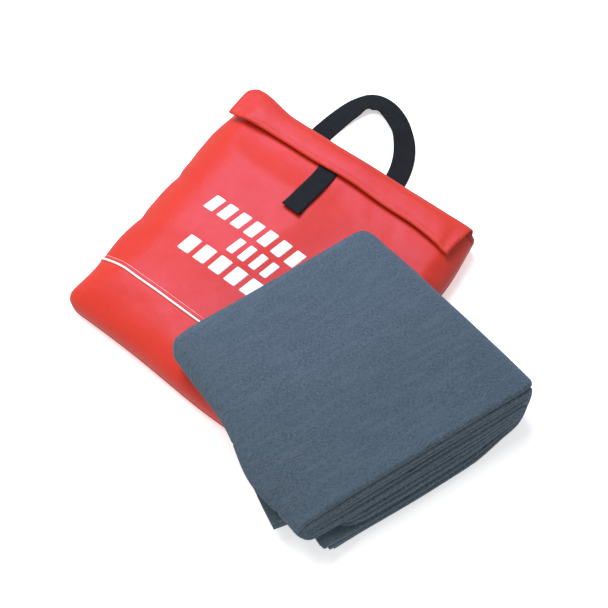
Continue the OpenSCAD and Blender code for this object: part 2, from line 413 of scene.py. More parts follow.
def strap(name, centre, normals, width, thickness, slot):
    """A flat webbing strap along a line. Its edges are round, and its selvedges stand a little proud."""
    centre = np.asarray(centre, float)
    normals = unit(normals)
    tangent = unit(np.gradient(centre, axis=0))
    side = unit(np.cross(tangent, normals))
    normals = np.cross(side, tangent)
    across = np.linspace(-1, 1, 15)
    selvedge = 0.20
    profile = []
    for sign, order in ((1, across), (-1, across[::-1])):
        for a in order:
            edge = max(0.0, abs(a) - (1 - selvedge)) / selvedge
            swell = 1 + 0.10 * math.sin(math.pi * edge)
            height = thickness / 2 * swell * math.sqrt(max(0.0, 1 - edge ** 4 * 0.85))
            profile.append((a * (width / 2), sign * height))
    profile = np.array(profile)
    count = len(profile)
    rings = [c + profile[:, :1] * s + profile[:, 1:] * n for c, s, n in zip(centre, side, normals)]
    cloth = np.concatenate([np.column_stack([np.full(count, d), profile[:, 0]]) for d in along(centre)])
    return make_piece(name, np.concatenate(rings), tube_faces(len(centre), count), slot, cloth)


def tube(name, centre, radius, slot):
    """A round cord along a line, closed at its ends."""
    sides = 12
    tangent = unit(np.gradient(centre, axis=0))
    side = unit(np.cross(tangent, UP))
    normal = np.cross(side, tangent)
    angle = np.linspace(0, 2 * math.pi, sides, endpoint=False)
    rings = [c + radius * (np.outer(np.cos(angle), s) + np.outer(np.sin(angle), n))
             for c, s, n in zip(centre, side, normal)]
    cloth = np.concatenate([np.column_stack([np.full(sides, d), angle * radius]) for d in along(centre)])
    return make_piece(name, np.concatenate(rings), tube_faces(len(centre), sides), slot, cloth)


def stitches(name, lines, slot, pitch=3.4 * MM, length=2.6 * MM, radius=0.32 * MM):
    """Rows of single stitches. Each line is (points, normals), on the cloth's surface."""
    points, faces, cloth = [], [], []
    # place along the stitch, size and rise of each ring
    bulge = [(-0.5, 0.35, -0.4), (-0.32, 0.95, 0.35), (0.0, 1.05, 0.6), (0.32, 0.95, 0.35), (0.5, 0.35, -0.4)]
    sides, near = 6, 0.5 * MM
    angle = np.linspace(0, 2 * math.pi, sides, endpoint=False)
    for line, normals in lines:
        line, normals = np.asarray(line, float), np.asarray(normals, float)
        at = along(line)
        count = max(1, int(at[-1] / pitch))
        for m in (np.arange(count) + 0.5) * at[-1] / count:
            c, n = at_places(line, at, m), unit(at_places(normals, at, m))
            t = unit(at_places(line, at, min(m + near, at[-1])) - at_places(line, at, max(m - near, 0)))
            s = unit(np.cross(t, n))
            start = len(points) * sides
            for place, size, rise in bulge:
                ring = np.outer(np.cos(angle), s) + 0.8 * np.outer(np.sin(angle), n)
                points.append(c + t * place * length + n * rise * radius + ring * radius * size)
                cloth.append(np.column_stack([np.full(sides, m + place * length), angle * radius]))
            faces += tube_faces(len(bulge), sides, start)
    return make_piece(name, np.concatenate(points), faces, slot, np.concatenate(cloth))


def modifier(obj, kind, **settings):
    return set_all(obj.modifiers.new(kind.title(), kind), **settings)


def evaluated_arrays(obj):
    """Points, quads, the quads' panels and the points' flat places of a piece, after its modifiers."""
    made = obj.evaluated_get(bpy.context.evaluated_depsgraph_get())
    mesh = made.to_mesh()
    points, cloth = np.zeros(len(mesh.vertices) * 3), np.zeros(len(mesh.vertices) * 3, np.float32)
    group = np.zeros(len(mesh.polygons), np.int32)
    mesh.vertices.foreach_get("co", points)
    mesh.attributes["cloth"].data.foreach_get("vector", cloth)
    mesh.attributes["panel"].data.foreach_get("value", group)
    faces = [tuple(p.vertices) for p in mesh.polygons]
    made.to_mesh_clear()
    return points.reshape(-1, 3), faces, group, cloth.reshape(-1, 3)


# ---------------------------------------------------------------- the bag's shell

bag_low, bag_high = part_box("back_panel")
front_low, front_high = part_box("front_panel")
HALF_W = bag_high.x
BOTTOM = bag_low.y
BACK_TOP = bag_high.y
SEAM_Z = bag_high.z
MOUTH = front_high.y
FRONT_Z = front_high.z
PIPING_Y = front_low.y
CLOTH_T = 1.3 * MM
ROLL = 50 * MM
FLAT_X = HALF_W - ROLL
FLAT_Y = BOTTOM + ROLL
ROLL_STEPS = 10
LOW_STEPS = 5
FLAT_STEPS = 48

BLANKET_YAW = math.radians(-15)
BLANKET_X = Vector((math.cos(BLANKET_YAW), math.sin(BLANKET_YAW), 0))
BLANKET_Y = Vector((-math.sin(BLANKET_YAW), math.cos(BLANKET_YAW), 0))
BLANKET_AT = Vector((0.200, -0.080, 0.0))


def to_blanket(x, y):
    """Place under the blanket, in its own directions."""
    dx, dy = x - BLANKET_AT.x, y - BLANKET_AT.y
    return dx * BLANKET_X.x + dy * BLANKET_X.y, dx * BLANKET_Y.x + dy * BLANKET_Y.y


def seam_grid():
    """Column and row places of both panels: (flat place, share of the roll), in metres and 0 to 1."""
    roll = np.linspace(1, 0, ROLL_STEPS + 1)
    columns = [(-FLAT_X, q) for q in roll]
    columns += [(x, 0.0) for x in np.linspace(-FLAT_X, FLAT_X, FLAT_STEPS + 1)[1:-1]]
    columns += [(FLAT_X, q) for q in roll[::-1]]
    rows = [(FLAT_Y, q) for q in roll]
    rows += [(y, 0.0) for y in np.linspace(FLAT_Y, PIPING_Y, LOW_STEPS + 1)[1:]]
    rows += [(y, 0.0) for y in np.linspace(PIPING_Y, MOUTH, FLAT_STEPS + 1)[1:]]
    return columns, rows


def roll_front(q):
    """Reach out and height of the front's edge where it turns down to the side seam."""
    a = q * math.pi / 2
    height = (FRONT_Z - SEAM_Z) * math.cos(a) ** 0.62 if q < 1 else 0.0
    return ROLL * math.sin(a) ** 0.95, SEAM_Z + height


def roll_back(q):
    """Reach out and height of the back's edge where it turns up to the side seam."""
    flat = ROLL - 20 * MM
    if q <= 0.5:
        return flat * q * 2, CLOTH_T / 2
    a = (q - 0.5) * math.pi
    return flat + (ROLL - flat) * math.sin(a), SEAM_Z - (SEAM_Z - CLOTH_T / 2) * math.cos(a)


def shell_point(column, row, profile):
    """A point of one panel before it swells, with the panel's corners rounded in plan."""
    (x, qx), (y, qy) = column, row
    q = max(qx, qy)
    reach, z = profile(q)
    if q == 0:
        return x, y, z
    turn = math.pi / 4 * (qy / qx if qx >= qy else 2 - qx / qy)
    out_x, out_y = max(0.0, math.cos(turn)) ** 0.5, max(0.0, math.sin(turn)) ** 0.5
    return x + math.copysign(reach * out_x, x), y - reach * out_y, z


def shell():
    """The bag's two panels as one closed skin: points, faces, panel of each face, and flat places."""
    columns, rows = seam_grid()
    points, cloth, index = [], [], {}
    grids = np.zeros((2, len(rows), len(columns)), int)
    for side, profile in enumerate((roll_front, roll_back)):
        for j, row in enumerate(rows):
            for i, column in enumerate(columns):
                on_seam = i in (0, len(columns) - 1) or j == 0
                key = ("seam" if on_seam else side, i, j)
                if key not in index:
                    index[key] = len(points)
                    x, y, z = shell_point(column, row, profile)
                    points.append((x, BACK_TOP if side and j == len(rows) - 1 else y, z))
                    out_x = math.copysign(column[1] * ROLL, column[0])
                    cloth.append((column[0] + out_x + side, row[0] - row[1] * ROLL))
                grids[side, j, i] = index[key]
    front, back = grids
    piping_row = ROLL_STEPS + LOW_STEPS
    front_faces = quads_of(front[:-1], front[1:])
    back_faces = [quad[::-1] for quad in quads_of(back[:-1], back[1:])]
    lower_count = piping_row * (len(columns) - 1)
    group = [1] * lower_count + [2] * (len(front_faces) - lower_count) + [0] * len(back_faces)
    cap = [list(dict.fromkeys(quad)) for quad in quads_of(front[-1], back[-1])]
    lines = {"piping": front[piping_row], "mouth": front[-1],
             "seam": np.concatenate([front[:0:-1, 0], front[0], front[1:, -1]])}
    return np.array(points), front_faces + back_faces, np.array(group), cap, np.array(cloth), lines


SWELL_FRAMES = 22


def swell(points, faces, cap, lines):
    """The skin after a cloth simulation with air pressure in it. The back stays flat on the floor."""
    mesh = bpy.data.meshes.new("swell")
    mesh.from_pydata([tuple(p) for p in points], [], faces + cap)
    obj = add_object("swell", mesh)
    held = obj.vertex_groups.new(name="held")
    still = {int(i) for i in np.nonzero(points[:, 2] < 2 * MM)[0]}
    still |= {int(i) for i in np.nonzero(points[:, 1] > MOUTH - 1 * MM)[0]}
    held.add(sorted(still), 1.0, "REPLACE")
    held.add([int(i) for i in lines["seam"] if int(i) not in still], 0.25, "REPLACE")
    settings = modifier(obj, "CLOTH").settings
    set_all(settings, quality=6, mass=0.25, tension_stiffness=14, compression_stiffness=14, shear_stiffness=4,
            bending_stiffness=0.35, use_pressure=True, uniform_pressure_force=3.5, vertex_group_mass="held")
    settings.effector_weights.gravity = 0
    for f in range(1, SWELL_FRAMES + 1):
        scene.frame_set(f)
    made = obj.evaluated_get(bpy.context.evaluated_depsgraph_get()).to_mesh()
    moved = np.zeros(len(points) * 3)
    made.vertices.foreach_get("co", moved)
    scene.frame_set(1)
    bpy.data.objects.remove(obj)
    return moved.reshape(-1, 3)


def calm(values, faces, rounds):
    """The same values, averaged with their neighbours' that many times."""
    quads = np.array(faces)
    for _ in range(rounds):
        total, count = values.copy(), np.ones((len(values), 1))
        for k in range(4):
            np.add.at(total, quads[:, k], values[quads[:, (k + 1) % 4]])
            np.add.at(count, quads[:, k], 1.0)
        values = total / count
    return values


def press(points, moved, top, faces):
    """Keeps the swollen skin within reach of its plan, and flat where the blanket lies on it."""
    reach, air = 0.013, 1.8 * MM
    shift = moved - points
    shift *= np.minimum(1, reach / np.maximum(np.linalg.norm(shift, axis=1, keepdims=True), 1e-9))
    out = points + calm(shift, faces, 6) * (0.3 + 0.7 * ease(points[:, 1:2], -0.200, -0.060))
    bx, by = to_blanket(out[:, 0], out[:, 1])
    # how far outside the blanket's edges, which lie at these places in its own directions
    outside = np.maximum(np.maximum(-0.172 - bx, np.abs(by) - 0.195), bx - 0.30)
    fullness = 0.15 + 0.85 * ease(out[:, 1], -0.130, 0.020)
    fullness *= 1 - 0.85 * ease(out[:, 1], 0.090, 0.175)
    limit = FRONT_Z + air + 0.015 * smoothstep((outside + 0.010) / 0.120) * fullness
    free = top & (out[:, 2] > limit)
    out[free, 2] = limit[free]
    out[:, 2] = np.maximum(out[:, 2], CLOTH_T / 2)
    return out


def bell(x, middle, width):
    return np.exp(-((x - middle) / width) ** 2)


def plan_left(y):
    """How far out the left side seam lies at y."""
    bulges = 13 * bell(y, 0.130, 0.075) + 7 * bell(y, 0.002, 0.045) + 8 * bell(y, -0.095, 0.050)
    return 0.2245 + (bulges + 4 * bell(y, -0.215, 0.030)) * MM


def plan_right(y):
    """How far out the right side seam lies at y."""
    return 0.226 + 15 * MM * bell(y, 0.140, 0.100)


def slouch(points, seam):
    """Moves the sides and the bottom out to the plan that the full bag lies in."""
    out = points.copy()
    x, y, z = points.T
    edge = points[seam]
    for side, plan in ((-1, plan_left), (1, plan_right)):
        own = edge[(edge[:, 0] * side > HALF_W - 50 * MM) & (edge[:, 1] > BOTTOM + 20 * MM)]
        own = own[np.argsort(own[:, 1])]
        now = np.interp(y, own[:, 1], own[:, 0] * side)
        out[:, 0] += side * ease(x * side, 0.100, 0.200) * (plan(y) - now)
    own = edge[edge[:, 1] < BOTTOM + 50 * MM]
    own = own[np.argsort(own[:, 0])]
    flat = np.abs(own[:, 0]) < HALF_W - 30 * MM
    now = np.interp(x, own[flat, 0], own[flat, 1])
    plan = BOTTOM - 10 * MM * bell(x, 0.080, 0.130)
    out[:, 1] -= ease(-y, 0.110, 0.215) * (now - plan)
    for side, depth in ((-1, 0.20), (1, 0.15)):
        far = np.hypot(x - side * HALF_W, y - BOTTOM)
        out[:, 2] *= 1 - depth * np.exp(-(far / 0.060) ** 2)
    out[:, 2] = np.where(z > 2 * MM, np.maximum(out[:, 2], 3 * MM), z)
    return out


CREASES = [
    # start, end and width in metres and depth in mm of soft folds in the front, from its edges inwards
    ((-0.240, 0.046), (-0.175, 0.030), 0.0060, -2.4),
    ((-0.235, 0.062), (-0.150, 0.060), 0.011, 1.4),
    ((-0.236, -0.048), (-0.170, -0.066), 0.0060, -2.4),
    ((-0.232, -0.030), (-0.150, -0.030), 0.012, 1.2),
    ((-0.228, 0.120), (-0.150, 0.085), 0.014, -1.4),
    ((-0.120, 0.172), (-0.150, 0.060), 0.014, -1.3),
    ((0.020, 0.172), (0.012, 0.110), 0.011, -1.2),
    ((-0.085, 0.170), (-0.100, 0.120), 0.010, 0.9),
    ((-0.200, -0.090), (-0.120, -0.060), 0.013, -1.0),
    ((-0.060, -0.235), (-0.050, -0.185), 0.014, -1.0),
    ((0.120, 0.168), (0.150, 0.110), 0.012, -1.4),
    ((0.228, 0.150), (0.170, 0.120), 0.011, -1.6),
    ((0.060, 0.170), (0.085, 0.130), 0.010, 0.9),
]


def creased(points, normals, top):
    """Adds the soft folds along the skin's own normals."""
    out = points.copy()
    for start, end, width, depth in CREASES:
        a, b = np.array(start), np.array(end)
        run = b - a
        t = np.clip(((points[:, :2] - a) @ run) / (run @ run), 0, 1)
        off = np.linalg.norm(points[:, :2] - (a + t[:, None] * run), axis=1)
        share = np.exp(-(off / width) ** 2) * (1 - smoothstep(t) * 0.8) * top
        out += normals * (share * depth * MM)[:, None]
    return out


def point_normals(points, faces):
    quads = np.array(faces)
    a, b, _, d = (points[quads[:, k]] for k in range(4))
    normals = np.zeros_like(points)
    for k in range(4):
        np.add.at(normals, quads[:, k], np.cross(b - a, d - a))
    return unit(normals)


skin, skin_faces, skin_group, cap_faces, skin_cloth, skin_lines = shell()
front_point = np.zeros(len(skin), bool)
front_point[np.unique([i for f, g in zip(skin_faces, skin_group) if g for i in f])] = True
swollen = swell(skin, skin_faces, cap_faces, skin_lines)
seam_ids = skin_lines["seam"]
skin_rest = slouch(press(skin, swollen, front_point, skin_faces), seam_ids)
skin_normals = point_normals(skin_rest, skin_faces)
inner = np.ones(len(skin), bool)
inner[seam_ids] = False
skin_rest = creased(skin_rest, skin_normals, front_point & inner & (skin_rest[:, 1] < MOUTH - 4 * MM))
skin_rest[seam_ids] -= skin_normals[seam_ids] * 1.6 * MM


def split_panels():
    """Subdivides the skin once, then cuts it at its seams into back, lower front and front."""
    whole = make_piece("skin", skin_rest, skin_faces, "coated_fabric", skin_cloth)
    whole.data.attributes.new("panel", "INT", "FACE").data.foreach_set("value", skin_group.astype(np.int32))
    modifier(whole, "SUBSURF", levels=1, render_levels=1)
    points, faces, group, cloth = evaluated_arrays(whole)
    bpy.data.objects.remove(whole)
    made = []
    for name, code in (("bag_back", 0), ("bag_front_lower", 1), ("bag_front", 2)):
        mine = [f for f, g in zip(faces, group) if g == code]
        used = np.unique([i for f in mine for i in f])
        where = {int(v): k for k, v in enumerate(used)}
        p = points[used]
        edge = np.minimum(np.abs(p[:, 1] - PIPING_Y), np.abs(p[:, 2] - SEAM_Z) * 1.2)
        edge = np.minimum(edge, np.abs(p[:, 1] - MOUTH))
        panel = make_piece(name, p, [[where[i] for i in f] for f in mine], "coated_fabric",
                           cloth[used], 1 - smoothstep(edge / 0.012))
        modifier(panel, "SOLIDIFY", thickness=CLOTH_T, offset=-1.0, use_rim=True)
        made.append(panel)
    return made, points, faces, group


(bag_back, bag_front_lower, bag_front), skin_points, skin_quads, quad_group = split_panels()
front_tree = BVHTree.FromPolygons([Vector(p) for p in skin_points],
                                  [f for f, g in zip(skin_quads, quad_group) if g])
whole_tree = BVHTree.FromPolygons([Vector(p) for p in skin_points], skin_quads)


def on_front(x, y, above=0.0):
    """Point and normal of the front's outer face straight below (x, y), raised by above."""
    hit, normal, _, _ = front_tree.ray_cast(Vector((x, y, 0.3)), Vector((0, 0, -1)))
    if hit is None:
        hit, normal, _, _ = front_tree.find_nearest(Vector((x, y, FRONT_Z)))
    if normal.z < 0:
        normal = -normal
    return np.array(hit) + np.array(normal) * above, np.array(normal)


def on_skin(point, above=0.0):
    """Nearest point and outward normal of the skin, raised by above."""
    hit, normal, _, _ = whole_tree.find_nearest(Vector(point))
    away = Vector(hit) - Vector((0, hit.y * 0.85, 0.030))
    if normal.dot(away) < 0:
        normal = -normal
    return np.array(hit) + np.array(normal) * above, np.array(normal)


for panel, node in ((bag_back, "back_panel"), (bag_front_lower, "front_lower_panel"),
                    (bag_front, "front_panel")):
    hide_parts(node)
    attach(panel, "bag")


# ---------------------------------------------------------------- piping, seams, binding and print

def skin_line(ids, above, step=4 * MM):
    """A line that follows the skin's points, raised from its face; and its normals."""
    placed = [on_skin(p, above) for p in resample(skin_rest[ids], step)]
    return [np.array(part) for part in zip(*placed)]


def trim(obj, nodes, body="bag"):
    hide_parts(*nodes)
    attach(obj, body)
    return obj


bead_line, _ = skin_line(skin_lines["piping"], 1.4 * MM)
trim(tube("piping", bead_line, 1.8 * MM, "white_piping"), ["piping_bead"])

THREAD_OFF = centre_of(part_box("piping_thread"), 1) - PIPING_Y
thread_run = zip(*(on_front(p[0], p[1] + THREAD_OFF, 0.15 * MM) for p in bead_line[2:-2]))
trim(stitches("piping_stitches", [thread_run], "white_thread", pitch=2.9 * MM, length=3.0 * MM,
              radius=0.27 * MM), ["piping_thread"])

# left end, foot, length and number of bars of each row
ROWS = ((-0.142, 0.010, 0.232, 9), (-0.064, -0.030, 0.078, 4), (-0.130, -0.070, 0.206, 7))
BAR_H, BAR_GAP, BAR_SLANT = 30 * MM, 9 * MM, 6 * MM


def print_bars():
    """Three rows of plain slanted bars in place of the bag's lettering."""
    points, faces, cloth = [], [], []
    across, up = 8, 14
    for left, low, length, bars in ROWS:
        width = (length - (bars - 1) * BAR_GAP) / bars
        for b in range(bars):
            start = len(points)
            for j in range(up + 1):
                v = j / up
                for i in range(across + 1):
                    u = i / across
                    corner = 0.8 * MM * ((2 * u - 1) ** 8)
                    x = left + b * (width + BAR_GAP) + u * width + BAR_SLANT * v
                    y = low + corner + v * (BAR_H - 2 * corner)
                    points.append(on_front(x, y, 0.35 * MM)[0])
                    cloth.append((x, y))
            faces += grid_faces(up + 1, across + 1, start=start)
    made = make_piece("print_bars", points, faces, "white_print", cloth)
    modifier(made, "SOLIDIFY", thickness=0.3 * MM, offset=-1.0)
    return made


trim(print_bars(), ["front_print"])


def ribbon(name, rows, slot, thickness):
    """A soft strip through rows of points, solid to that thickness."""
    cloth = [(at, wide) for at in along(rows.mean(axis=1)) for wide in along(rows.mean(axis=0))]
    made = make_piece(name, rows.reshape(-1, 3), grid_faces(*rows.shape[:2]), slot, cloth)
    modifier(made, "SOLIDIFY", thickness=thickness, offset=0.0)
    return made


def mouth_edge():
    """Binding tape folded over the front's upper edge."""
    depth = 9.5 * MM
    edge, normals = skin_line(skin_lines["mouth"], 0.0, 6 * MM)
    edge[:, 1] = MOUTH
    back = np.array([0, -1.0, 0])
    rows = []
    for p, n in zip(edge, normals):
        n = unit(n * [1, 0, 1])
        out, turn = 0.6 * MM, 0.4 * MM
        inside = n * (CLOTH_T + out)
        rows.append([p + back * depth + n * out, p + back * depth * 0.5 + n * out, p + n * out,
                     p - back * turn + n * (out * 0.4), p - back * turn * 1.4 - n * CLOTH_T * 0.5,
                     p - back * turn - n * (CLOTH_T + out * 0.4), p - inside,
                     p + back * depth * 0.5 - inside, p + back * depth - inside])
    return np.array(rows)


binding_rows = mouth_edge()
trim(ribbon("mouth_tape", binding_rows, "binding_tape", 0.8 * MM), ["mouth_binding"])
mouth_run = binding_rows[:, 0] * 0.75 + binding_rows[:, 2] * 0.25
mouth_normals = unit(binding_rows[:, 0] - binding_rows[:, 8])
trim(stitches("mouth_stitches", [(mouth_run + mouth_normals * 0.45 * MM, mouth_normals)], "red_thread"),
     ["mouth_thread"])


def inner_seam():
    """Tape over the side seam's allowance, on the inside of the bag."""
    line, normals = skin_line(skin_lines["seam"], 0.0, 7 * MM)
    keep = line[:, 1] < MOUTH - 3 * MM
    rows = []
    for p, n in zip(line[keep], normals[keep]):
        n = unit(n * [1, 1, 0])
        inside = p - n * (CLOTH_T + 1.6 * MM)
        rows.append([inside + UP * 1.0 * MM, inside - n * 4.5 * MM + UP * 0.8 * MM, inside - n * 5.2 * MM,
                     inside - n * 4.5 * MM - UP * 0.8 * MM, inside - UP * 1.0 * MM])
    return np.array(rows)


trim(ribbon("seam_tape", inner_seam(), "binding_tape", 0.7 * MM), ["seam_binding"])

top_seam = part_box("top_seam")
top_line = [(x, centre_of(top_seam, 1) - 0.8 * MM, 2.9 * MM)
            for x in np.linspace(top_seam[0].x, top_seam[1].x, 90)]
trim(strap("top_seam_tape", top_line, [UP] * 90, extent(top_seam, 1) - 1.6 * MM, 2.4 * MM, "binding_tape"),
     ["top_seam"])


# ---------------------------------------------------------------- handle

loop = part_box("handle_loop")
tail_left, tail_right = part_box("handle_tail_left"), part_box("handle_tail_right")
STRAP_W = extent(tail_left, 0)
STRAP_T = 2.0 * MM
HANDLE_Y = loop[0].y
HANDLE_FOOT = np.array([centre_of(loop, 0), HANDLE_Y, 0])
LEFT_X, RIGHT_X = centre_of(tail_left, 0), centre_of(tail_right, 0)
# place round the arch in radians, and tilt in degrees
KINKS = ((0.95, 7), (1.55, 4), (2.10, 9))


def handle_line():
    """Middle line and face normals of the handle. Its legs lie flat; its arch tips up on its outer edge."""
    centre, half = (LEFT_X + RIGHT_X) / 2, (RIGHT_X - LEFT_X) / 2
    reach = loop[1].y - STRAP_W / 2 - HANDLE_Y
    lean = 25 * MM
    turn = np.linspace(0, math.pi, 97)
    line = np.array([(centre + half * math.cos(t) - lean * math.sin(t) ** 3,
                      HANDLE_Y + reach * math.sin(t), 0) for t in turn])
    tangent = unit(np.gradient(line, axis=0))
    normals = []
    for i, t in enumerate(turn):
        tip = math.radians(10) * smoothstep((math.sin(t) - 0.30) / 0.62)
        tip += sum(math.radians(size) * math.exp(-((t - place) / 0.13) ** 2) for place, size in KINKS)
        inward = np.array([tangent[i][1], -tangent[i][0], 0.0])
        if inward @ (HANDLE_FOOT - line[i]) < 0:
            inward = -inward
        line[i, 2] = STRAP_T / 2 + 0.3 * MM + math.sin(tip) * STRAP_W / 2 + 2.0 * MM * math.sin(t) ** 2
        normals.append(UP * math.cos(tip) - inward * math.sin(tip))
    line[0, 1] = line[-1, 1] = HANDLE_Y - 1.2 * MM
    return line, normals


handle_points, handle_normals = handle_line()
handle = strap("handle", handle_points, handle_normals, STRAP_W, STRAP_T, "black_webbing")
trim(handle, ["handle_loop"], "handle")

tail_lines = []
for name, node, (low, high) in (("handle_end_left", "handle_tail_left", tail_left),
                                ("handle_end_right", "handle_tail_right", tail_right)):
    z = CLOTH_T + STRAP_T / 2 + 0.1 * MM
    run = [((low.x + high.x) / 2, y, z) for y in np.linspace(low.y, high.y - 5 * MM, 24)]
    trim(strap(name, run, [UP] * 24, STRAP_W, STRAP_T, "black_webbing"), [node])
    inset, top_z = 4 * MM, z + STRAP_T / 2
    a, b = (low.x + inset, low.y + inset, top_z), (high.x - inset, high.y - 10 * MM, top_z)
    corners = [a, (b[0], a[1], top_z), b, (a[0], b[1], top_z)]
    for p, q in zip(corners + [a, corners[1]], corners[1:] + [a, b, corners[3]]):
        tail_lines.append(([p, q], [UP, UP]))
trim(stitches("handle_stitches", tail_lines, "black_thread", radius=0.4 * MM), ["handle_tail_thread"])


# ---------------------------------------------------------------- flap

flap_low, spine_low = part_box("flap")[0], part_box("flap_spine")[0]
FLAP_Z = flap_low.z
FLAP_EDGE = flap_low.y
HEM_GAP = 4.0 * MM
HEM_STITCH = 7.5 * MM
# below this height the flap's cloth is its spine
SPINE_Z = 0.045


def flap_path(x):
    """(y, z) points of the flap's section at x, from the back seam over the mouth to its turned-under hem."""
    wave = 1.3 * MM * math.sin(x * 31 + 0.6) + 0.8 * MM * math.sin(x * 57)
    bow = 9 * MM * (1 - (x / HALF_W) ** 2)
    edge_y = FLAP_EDGE + bow + 1.0 * MM * math.sin(x * 43 + 1.0)
    edge_y -= 5 * MM * ease(x, 0.120, HALF_W)
    droop = (3 if x < 0 else 1) * MM * ease(abs(x), HALF_W - 34 * MM, HALF_W)
    left = ease(-x, 0.128, 0.205)
    foot_y = spine_low.y + 0.8 * MM
    top_y = foot_y + 8 * MM * left
    corner = (9 * MM if x < 0 else 1 * MM) * ease(abs(x), HALF_W - 10 * MM, HALF_W)
    fold_z = FLAP_Z + 0.5 * MM - droop + wave * 0.5 + 8 * MM * left
    fold_z += HEM_GAP * (1 - 0.4 * ease(-x, 0.15, HALF_W))
    # how far the full bag stands above FRONT_Z under the flap's root, middle and hem
    high, mid, low = (max(0.0, on_front(x, y)[0][2] - FRONT_Z) for y in (MOUTH - 12 * MM, 0.205, 0.190))
    back = [(foot_y, spine_low.z), (foot_y * 0.7 + top_y * 0.3 + 1.0 * MM, 14 * MM),
            (foot_y * 0.3 + top_y * 0.7 + 1.8 * MM + wave * 0.5, 28 * MM),
            (top_y + 1.6 * MM + wave, 42 * MM), (top_y + 0.6 * MM - corner * 0.5 + wave * 0.6, 53 * MM)]
    front = [(top_y - 2.4 * MM - corner, fold_z - 4.5 * MM), (top_y - 7.5 * MM - corner, fold_z + 0.2 * MM),
             (top_y - 15 * MM - corner, fold_z + 2.4 * MM + high * 0.6),
             (0.212, fold_z + 3.0 * MM + mid * 0.85), (0.200, fold_z + 2.6 * MM + mid),
             (edge_y + 9 * MM, fold_z + 1.6 * MM + low), (edge_y + 3 * MM, fold_z + 0.9 * MM + low)]
    z = fold_z + low
    hem = [(edge_y + 0.3 * MM, z - 0.1 * MM), (edge_y, z - 1.5 * MM), (edge_y + 0.8 * MM, z - 2.7 * MM),
           (edge_y + 3 * MM, z - 3.0 * MM), (edge_y + 10 * MM, z - 2.6 * MM)]
    return back + front + hem


def flap_piece():
    rows, cloth, wear = [], [], []
    for x in np.linspace(-HALF_W, HALF_W, 75):
        fine = smooth_line(np.array(flap_path(x)), 46)
        side = x + (0.8 * MM * math.sin(x * 20) if abs(x) > 0.2 else 0)
        slant = 6.5 * MM * ease(x, 0.180, HALF_W) * ease(-fine[:, 0], -0.232, -0.180)
        rows.append([(side - s, y, z) for s, (y, z) in zip(slant, fine)])
        cloth += [(x, -d) for d in along(fine)]
        edge = np.minimum(np.abs(fine[:, 0] - FLAP_EDGE - 6 * MM) * 0.7, HALF_W - abs(x))
        wear += list(1 - smoothstep(edge / 0.010))
    rows = np.array(rows)
    made = make_piece("flap_cover", rows.reshape(-1, 3), grid_faces(*rows.shape[:2]), "coated_fabric",
                      np.array(cloth) + [2.0, 0], wear)
    modifier(made, "SOLIDIFY", thickness=CLOTH_T, offset=0.0)
    return made, rows


flap_cover, flap_rows = flap_piece()
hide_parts("flap", "flap_spine", "flap_hem")
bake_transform(flap_cover)

hem_run = []
for column in flap_rows[2:-2]:
    spine = column[:, 2] < SPINE_Z
    k = int(np.argmin(column[:, 1] + spine))
    at = int(np.argmin(np.abs(column[:k, 1] - (column[k, 1] + HEM_STITCH)) + spine[:k]))
    hem_run.append(column[at] + UP * 0.75 * MM)
trim(stitches("flap_stitches", [(hem_run, [UP] * len(hem_run))], "red_thread"), ["flap_hem_thread"], "flap")


# ---------------------------------------------------------------- closure tab and its hook-and-loop

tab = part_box("closure_tab")
TAB_X, TAB_W, TAB_T = centre_of(tab, 0), extent(tab, 0), extent(tab, 2)
TAB_TIP, TAB_ROOT = tab[0].y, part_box("tab_root")[1].y


def tab_line():
    """Middle line of the closure strap, from under the flap down over the loop patch to its lifted end."""
    line = []
    for y in np.linspace(TAB_ROOT, TAB_TIP, 60):
        under = on_front(TAB_X, y)[0][2]
        bend = 1.8 * MM * math.sin((y - TAB_TIP) / (TAB_ROOT - TAB_TIP) * math.pi)
        lift = 4.2 * MM * smoothstep((TAB_TIP + 26 * MM - y) / (30 * MM)) ** 1.5
        gap = 3.0 * MM - 1.4 * MM * ease(y, 0.150, 0.172)
        line.append((TAB_X + bend - 0.5 * MM, y, under + gap + TAB_T / 2 + lift))
    return np.array(line)


tab_points = tab_line()
tab_slope = unit(np.gradient(tab_points, axis=0))
tab_normals = unit(np.cross(np.cross(tab_slope, UP), tab_slope))
closure_strap = strap("closure_strap", tab_points, tab_normals, TAB_W, TAB_T, "black_webbing")
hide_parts("closure_tab", "tab_root")
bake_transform(closure_strap)


def pad(name, box, surface, thickness):
    """A patch of hook or loop tape that follows a surface given as a function of x and y."""
    points, cloth = [], []
    across, up = 14, 20
    for j in range(up + 1):
        for i in range(across + 1):
            u, v = 2 * i / across - 1, 2 * j / up - 1
            x, y = centre_of(box, 0) + u * extent(box, 0) / 2, centre_of(box, 1) + v * extent(box, 1) / 2
            p, n = surface(x, y)
            rim = max(abs(u), abs(v)) ** 10
            points.append(p + n * thickness * (1 - 0.55 * rim))
            cloth.append((x, y))
    made = make_piece(name, points, grid_faces(up + 1, across + 1), "hook_and_loop", cloth)
    modifier(made, "SOLIDIFY", thickness=thickness * 0.95, offset=-1.0)
    return made


def outline(box, inset, surface, above):
    """Four stitch rows round a patch."""
    low, high = box
    x0, x1, y0, y1 = low.x + inset, high.x - inset, low.y + inset, high.y - inset
    corners = [(x0, y0), (x1, y0), (x1, y1), (x0, y1), (x0, y0)]
    rows = []
    for (ax, ay), (bx, by) in zip(corners, corners[1:]):
        placed = [surface(ax + (bx - ax) * t, ay + (by - ay) * t) for t in np.linspace(0, 1, 14)]
        rows.append(zip(*((p + n * above, n) for p, n in placed)))
    return rows


